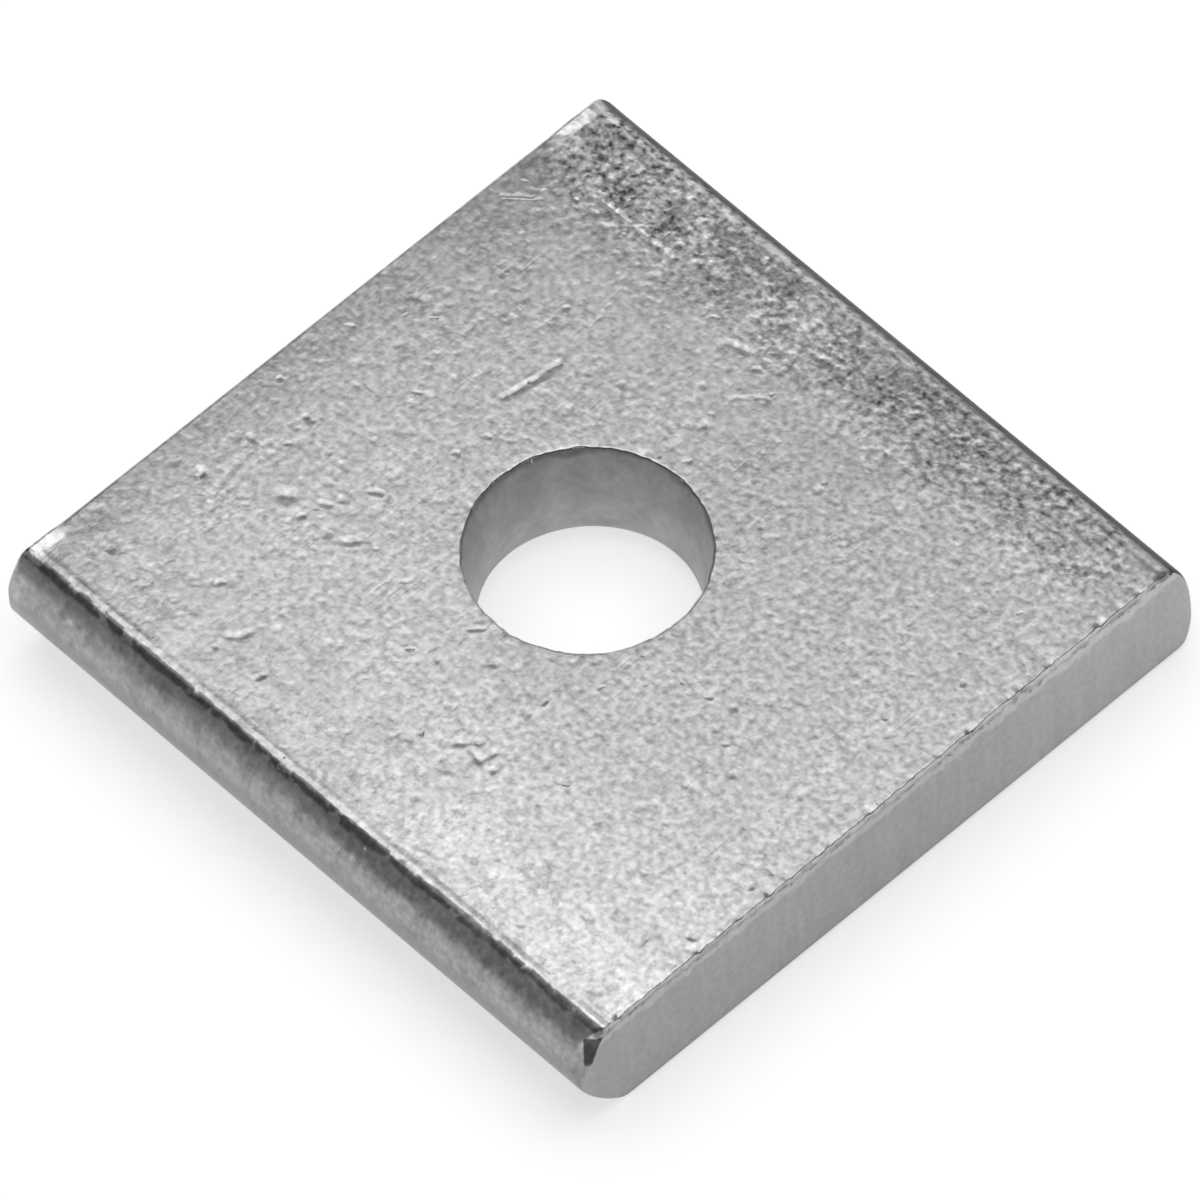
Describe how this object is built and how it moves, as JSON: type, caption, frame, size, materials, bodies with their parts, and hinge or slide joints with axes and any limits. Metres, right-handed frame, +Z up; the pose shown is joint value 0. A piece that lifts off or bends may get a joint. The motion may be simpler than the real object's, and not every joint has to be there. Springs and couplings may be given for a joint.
{
  "type": "square plate washer",
  "caption": "Thick square plate washer cropped from round-edged flat bar, with a punched round hole near its middle, bright zinc plated.",
  "frame": {"origin": "middle of the washer's bounding box, at its underside, where it lies on a flat surface", "axes": "+X along the bar that the washer was cropped from, towards the sheared face that is drawn round at the bottom; +Y across the bar, towards its fuller rolled edge; +Z up through the plate"},
  "size_m": [0.0374, 0.0382, 0.0065],
  "materials": {
    "zinc_plate": "bright zinc plate over rolled and sheared steel, lightly pitted and scratched"
  },
  "bodies": {
    "root": {"square_plate_washer": "zinc_plate"}
  },
  "joints": []
}
